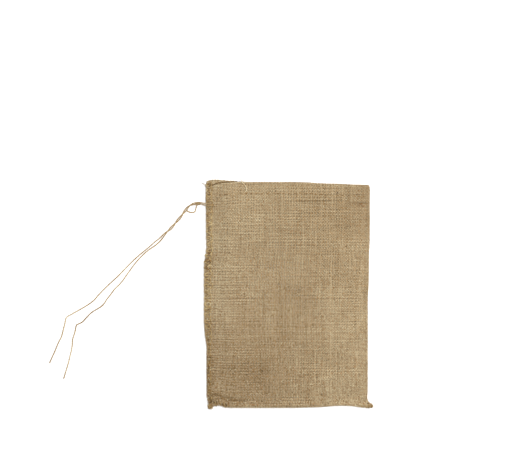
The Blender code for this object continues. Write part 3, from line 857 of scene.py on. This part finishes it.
def bottom_seam(material):
    """Overedge sewing of the bottom, rolled under the sack, and its ends at the two corners."""
    rng = np.random.default_rng(45)
    x_at, reaches = np.array(BOTTOM_STYLE).T
    points = []
    x = BOTTOM_FROM
    while x < BOTTOM_TO:
        reach = np.interp(x, x_at, reaches) + rng.normal(0, 0.35)
        low = bottom_edge(x)
        y = low + max(reach, 1.0)
        top = thickness(x, y) + 0.2
        # near the corners a stitch reaches up the front, and between them it stays beneath
        if reach > 1.0:
            points += [(x, y, top - 0.3), (x + 0.3, y - 0.6, top + 0.45)]
            points += [(x + 1.2, low + 1.4, 4.3), (x + 1.6, low + 0.35, 2.6)]
        else:
            points += [(x + 1.4, low + 1.0, 1.0)]
        points += [(x + 1.9, low + 1.6, BENEATH), (x + 2.6, low + 7.0, BENEATH)]
        x += BOTTOM_STITCH + rng.normal(0, 0.3)
    lines = [smooth_line(points, TWINE_STEP)]
    for x, y, z, axis_x, axis_y, radius, height, length in CORNER_WRAPS:
        turn = np.linspace(0, 2 * CORNER_TURNS * math.pi, 60)
        along = length * (turn / turn[-1] - 0.5)
        off = radius * np.cos(turn) * (1 - 0.25 * turn / turn[-1])
        lines.append(np.stack([x + axis_x * along - axis_y * off, y + axis_y * along + axis_x * off,
                               np.maximum(z + height * np.sin(turn), 0.6)], axis=1))
    piece = twine("bottom_twine", lines, TWINE, TWINE_LAY, rng, tone=0.45, sides=5,
                  uneven=(2.6, 0.25))
    return finish_piece(piece, material)


HEM_LINE = 13.6  # below the mouth, where the hem is stitched down
HEM_STITCH, HEM_TWINE, HEM_LAY = 6.6, 0.85, 3.2
HEM_FROM, HEM_TO = -92.0, 90.0
HEM_SHARE = (0.55, 0.75)  # how much of a stitch's pitch shows
HEM_ARCH = (-0.5, 0.3, 0.45, 0.3, -0.5)  # how far it stands out along what shows


def hem_seam(material):
    """Running stitches along the hem of the front panel and of the back one."""
    rng = np.random.default_rng(43)
    lines = []
    for back in (False, True):
        x = HEM_FROM
        while x < HEM_TO:
            along = np.linspace(x, x + HEM_STITCH * rng.uniform(*HEM_SHARE), len(HEM_ARCH))
            mouth = back_mouth(along) if back else front_mouth(along)
            slant = np.linspace(-0.2, 0.2, len(HEM_ARCH))
            y = mouth - HEM_LINE + rng.normal(0, 0.25) + slant * rng.normal()
            arch = np.array(HEM_ARCH) - rng.uniform(0.1, 0.6)
            z = 0.42 - 0.3 * arch if back else thickness(along, y) + HEM_STEP + arch + 0.1
            lines.append(smooth_line(np.stack([along, y, z], axis=1), TWINE_STEP))
            x += HEM_STITCH + rng.normal(0, 0.25)
    piece = twine("hem_twine", lines, HEM_TWINE, HEM_LAY, rng, tone=0.2, sides=5)
    return finish_piece(piece, material)


# ================= stray ends =================
FIBRES, FIBRE_STEPS, FIBRES_ON_EDGES = 4200, 4, 0.16
FIBRE_INSET = 1.4  # of the fibres that start by an edge
FIBRE_FIELD = ((-99, 96), (-134, 131))
FIBRE_THICK, FIBRE_HIGH = (0.09, 0.17), (0.15, 1.3)


def stray_fibres(material):
    """Fine loose fibres that stand out of hessian, over the panel and along its edges."""
    rng = np.random.default_rng(51)
    count, steps = FIBRES, FIBRE_STEPS
    x = rng.uniform(*FIBRE_FIELD[0], count)
    y = rng.uniform(*FIBRE_FIELD[1], count)
    on_edge = rng.random(count) < FIBRES_ON_EDGES
    which = rng.integers(0, 4, count)
    x = np.where(on_edge & (which == 0), left_edge(y) + FIBRE_INSET, x)
    x = np.where(on_edge & (which == 1), right_edge(y) - FIBRE_INSET, x)
    y = np.where(on_edge & (which == 2), bottom_edge(x) + FIBRE_INSET + 0.2, y)
    y = np.where(on_edge & (which == 3), front_mouth(x) - FIBRE_INSET, y)
    heading = rng.uniform(0, 2 * math.pi, count)
    length = rng.gamma(3.0, 1.1, count) + 1.0
    bend = rng.normal(0, 0.9, count)
    t = np.linspace(0, 1, steps)[None, :]
    angle = heading[:, None] + bend[:, None] * t
    way = np.stack([np.cos(angle), np.sin(angle)], axis=-1) * (length / (steps - 1))[:, None, None]
    flat = np.stack([x, y], axis=1)[:, None] + np.cumsum(way, axis=1) - way[:, :1]
    inside = (flat[..., 0] > left_edge(flat[..., 1])) & (flat[..., 0] < right_edge(flat[..., 1]))
    inside &= (flat[..., 1] > bottom_edge(flat[..., 0])) & (flat[..., 1] < front_mouth(flat[..., 0]))
    base = np.where(inside, thickness(flat[..., 0], flat[..., 1]), thickness(x, y)[:, None] * 0.6)
    high = rng.uniform(*FIBRE_HIGH, count)[:, None] * np.sin(math.pi * np.clip(t * 1.15, 0, 1))
    line = np.concatenate([flat, (base + 0.05 + high)[..., None]], axis=-1)
    thick = rng.uniform(*FIBRE_THICK, count)[:, None] * (1 - 0.6 * t)
    tone = np.broadcast_to(rng.uniform(0.4, 1.0, count)[:, None], (count, steps))
    piece = strands("stray_fibres", line, UP, thick, thick, tone, 3)
    return finish_piece(piece, material)


# loose yarns that lie on the cloth: width, tone, then points as x, y and height over the cloth
LOOSE_YARNS = (
    (1.0, 1.0, ((-59.0, 142.6, -4.5), (-58.0, 140.0, -1.2), (-56.0, 136.6, 0.9), (-53.6, 134.0, 1.0),
                (-51.9, 131.0, 0.9), (-51.8, 127.8, 0.9), (-53.4, 125.4, 0.8), (-55.6, 124.0, 0.3))),
    (0.45, 0.2, ((-109.0, 139.2, -2.2), (-106.0, 137.4, -1.2), (-103.4, 134.6, -0.4),
                 (-101.6, 132.0, 0.4))),
    (0.4, 0.1, ((-108.2, 135.6, -2.0), (-105.4, 136.0, -1.4), (-102.8, 134.0, -0.6),
                (-100.4, 131.5, 0.4))),
    (0.4, 0.3, ((-106.0, 141.0, -2.0), (-104.6, 138.0, -1.6), (-102.4, 135.4, -0.8),
                (-99.4, 133.5, 0.4))),
    (0.6, 0.9, ((-96.8, 1.8, 0.6), (-95.5, 3.4, 1.4), (-95.5, 5.6, 1.5), (-96.8, 7.2, 1.6),
                (-98.4, 7.6, 1.2))),
    (0.6, 0.9, ((-95.7, -14.0, 0.6), (-95.5, -11.5, 1.4), (-96.8, -9.9, 1.6), (-98.8, -9.5, 1.7),
                (-100.6, -10.6, 1.3), (-101.3, -12.5, 0.6))),
    (0.6, 0.8, ((-96.7, -25.9, 0.6), (-95.6, -24.0, 1.4), (-96.4, -22.3, 1.6), (-98.2, -21.8, 1.2))),
)
LOOSE_LOWEST = 0.4  # a loose yarn's middle over the floor
# flecks caught in the yarns: x, y, length, width, turn in degrees, kind
FLECKS = (
    (59.1, 124.8, 2.4, 1.1, 90, "bark"), (-96.4, 132.6, 1.5, 1, 60, "bark"),
    (88.9, 111.2, 2.8, 1.1, 10, "gold"), (91.5, 108.6, 2.6, 1.1, 0, "gold"),
    (89.2, 46, 1.8, 0.8, 20, "gold"), (-97.6, 123, 3.6, 0.9, 25, "bark"),
    (72.6, 121.2, 4, 0.5, 25, "bark"), (84, 122.8, 5, 0.5, 0, "bark"),
    (59.4, 94.3, 1.4, 1, 0, "pale"), (42.3, 107.6, 3, 0.8, 88, "pale"),
    (-94.8, -130.6, 2.6, 1.6, 40, "bark"), (-91.4, -131, 2.4, 0.8, 95, "bark"),
    (-88.4, -131.8, 4, 0.8, 80, "bark"), (-80.6, -134, 3.4, 0.8, 85, "bark"),
    (-76.6, -134.6, 4.2, 0.9, 100, "bark"), (97, -132.5, 2.2, 1.1, 160, "bark"),
    (-99, 43, 2.6, 0.8, 10, "gold"), (-96.2, 42, 2.4, 0.8, 160, "gold"),
    (-97.4, 131, 1.3, 0.7, 40, "pale"), (-95.4, 125.6, 1.3, 0.7, 120, "pale"),
    (-98.6, 126.8, 1, 0.6, 80, "pale"), (-96, 117.2, 1.4, 0.6, 60, "pale"),
    (-97, 50.2, 1.2, 0.9, 0, "bark"), (-98, -90, 1.6, 0.9, 80, "bark"),
)
# fields strewn with small flecks: from x, to x, from y, to y, how many
FLECK_FIELDS = (
    (-92, 94, -132, 130, 330), (-101, -95.5, -128, 130, 150),
    (-96, 92, -135.5, -128, 90), (-98.2, -95.8, -130, -35, 50),
    (-90, 92, -132, -75, 90),
)
# how far a fleck lies over the cloth, and how much more on the side seam and for the ones
# that are placed one by one
FLECK_RISE, FLECK_ON_SEAM, FLECK_ON_TOP = 0.25, 1.35, 0.55
SEAM_INNER = -93.0
# a fleck along its length: where, as a share of it, and its width there
FLECK_ALONG, FLECK_TAPER = (-0.5, -0.3, 0.0, 0.3, 0.5), (0.3, 0.9, 1.0, 0.85, 0.3)


def stray_ends(cloth_material, bark_material, gold_material):
    """Loose yarns on the cloth, and the flecks of bark and pale nubs that are spun into it."""
    yarns_made = []
    for width, tone, points in LOOSE_YARNS:
        line = smooth_line(points, TWINE_STEP)
        line[:, 2] += thickness(line[:, 0], line[:, 1])
        line[:, 2] = np.maximum(line[:, 2], LOOSE_LOWEST)
        taper = width * (1 - 0.5 * np.abs(np.linspace(-1, 1, len(line))[None, :]) ** 4)
        tones = np.full((1, len(line)), float(tone))
        yarns_made.append(strands("loose_run", line[None], UP, taper, taper * 0.6, tones, 6))
    loose = finish_piece(joined("loose_yarns", yarns_made), cloth_material)

    rng = np.random.default_rng(53)
    kinds = {"bark": bark_material, "gold": gold_material, "pale": cloth_material}
    rows = {kind: [row[:5] for row in FLECKS if row[5] == kind] for kind in kinds}
    placed = {kind: len(rows[kind]) for kind in kinds}
    for x0, x1, y0, y1, count in FLECK_FIELDS:
        for k in range(count):
            kind = ("bark", "gold", "pale")[k % 3]
            rows[kind].append((rng.uniform(x0, x1), rng.uniform(y0, y1), rng.uniform(0.8, 2.2),
                               rng.uniform(0.35, 0.8), 90 * rng.integers(0, 2) + rng.normal(0, 14)))
    made = [loose]
    for kind, material in kinds.items():
        x, y, length, width, turn = np.array(rows[kind]).T
        turn = np.radians(turn)
        t = np.array(FLECK_ALONG)[None, :]
        line_x = x[:, None] + (length * np.cos(turn))[:, None] * t
        line_y = y[:, None] + (length * np.sin(turn))[:, None] * t
        on_seam = (x < SEAM_INNER)[:, None] * FLECK_ON_SEAM
        on_top = (np.arange(len(x)) < placed[kind])[:, None] * FLECK_ON_TOP
        height = thickness(line_x, line_y) + FLECK_RISE + on_seam + on_top - 1.2 * t ** 2
        line = np.stack([line_x, line_y, height], axis=-1)
        wide = width[:, None] * np.array(FLECK_TAPER)[None, :]
        piece = strands(f"flecks_{kind}", line, UP, wide, wide * 0.7, np.ones_like(wide), 5)
        made.append(finish_piece(piece, material))
    return made


# ================= the room =================
def add_lamp(name, place, size, power):
    """A square soft lamp that is aimed at the middle of the floor."""
    light = bpy.data.lights.new(name, "AREA")
    light.shape = "SQUARE"
    light.size = size
    light.energy = power
    lamp = bpy.data.objects.new(name, light)
    lamp.location = place
    lamp.rotation_mode = "QUATERNION"
    lamp.rotation_quaternion = (-Vector(place)).to_track_quat("-Z", "Y")
    bpy.context.scene.collection.objects.link(lamp)


def camera():
    """A long lens high above, so that the flat sack shows with hardly any perspective."""
    data = bpy.data.cameras.new("camera")
    data.sensor_width = SENSOR
    data.lens = SENSOR * VIEW_HEIGHT / VIEW_WIDTH
    data.clip_start, data.clip_end = 0.05, 10.0
    thing = bpy.data.objects.new("camera", data)
    thing.location = (VIEW_CENTRE[0] * METRES, VIEW_CENTRE[1] * METRES, VIEW_HEIGHT * METRES)
    bpy.context.scene.collection.objects.link(thing)
    bpy.context.scene.camera = thing


def room():
    """A plain white floor under even light that is a little stronger from the upper right."""
    data = bpy.data.meshes.new("floor")
    corners = [(x * FLOOR_REACH, y * FLOOR_REACH, 0) for x, y in ((-1, -1), (1, -1), (1, 1), (-1, 1))]
    data.from_pydata(corners, [], [(0, 1, 2, 3)])
    floor = bpy.data.objects.new("floor", data)
    data.materials.append(plain("white_board", "#FAFAFA"))
    bpy.context.scene.collection.objects.link(floor)
    world = bpy.data.worlds.new("studio")
    world.use_nodes = True
    background = world.node_tree.nodes["Background"]
    background.inputs["Color"].default_value = (1.0, 1.0, 1.0, 1.0)
    background.inputs["Strength"].default_value = 0.98
    bpy.context.scene.world = world
    add_lamp("key", (0.7, 0.55, 1.5), 1.0, 27.0)
    bpy.context.scene.view_settings.view_transform = "Standard"


def main():
    camera()
    cloth = spun_jute("hessian_yarn", "#6B5739", "#A49071", "#CABD9C", "#986E38")
    string = spun_jute("jute_string", "#6E5534", "#9E845B", "#C5B390", "#7D5B2C")
    sewing = spun_jute("sewing_twine", "#6A4E28", "#A1875A", "#CBB789", "#855E2C")
    bark = plain("bark", "#4A3723")
    gold = plain("unbleached_fibre", "#845526")
    knot = tie_knot(string)
    tie_string("tie_string_a", "tie_string_left", LEFT_ROUTE, 1, LEFT_TONES, string, 21)
    tie_string("tie_string_b", "tie_string_right", RIGHT_ROUTE, -1, RIGHT_TONES, string, 22)
    warp_front, weft_front, warp_back, weft_back = weave(cloth)
    seam = side_seam(sewing)
    bottom = bottom_seam(sewing)
    hem = hem_seam(sewing)
    fibres = stray_fibres(cloth)
    ends = stray_ends(cloth, bark, gold)
    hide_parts("sack_cloth")
    room()


main()
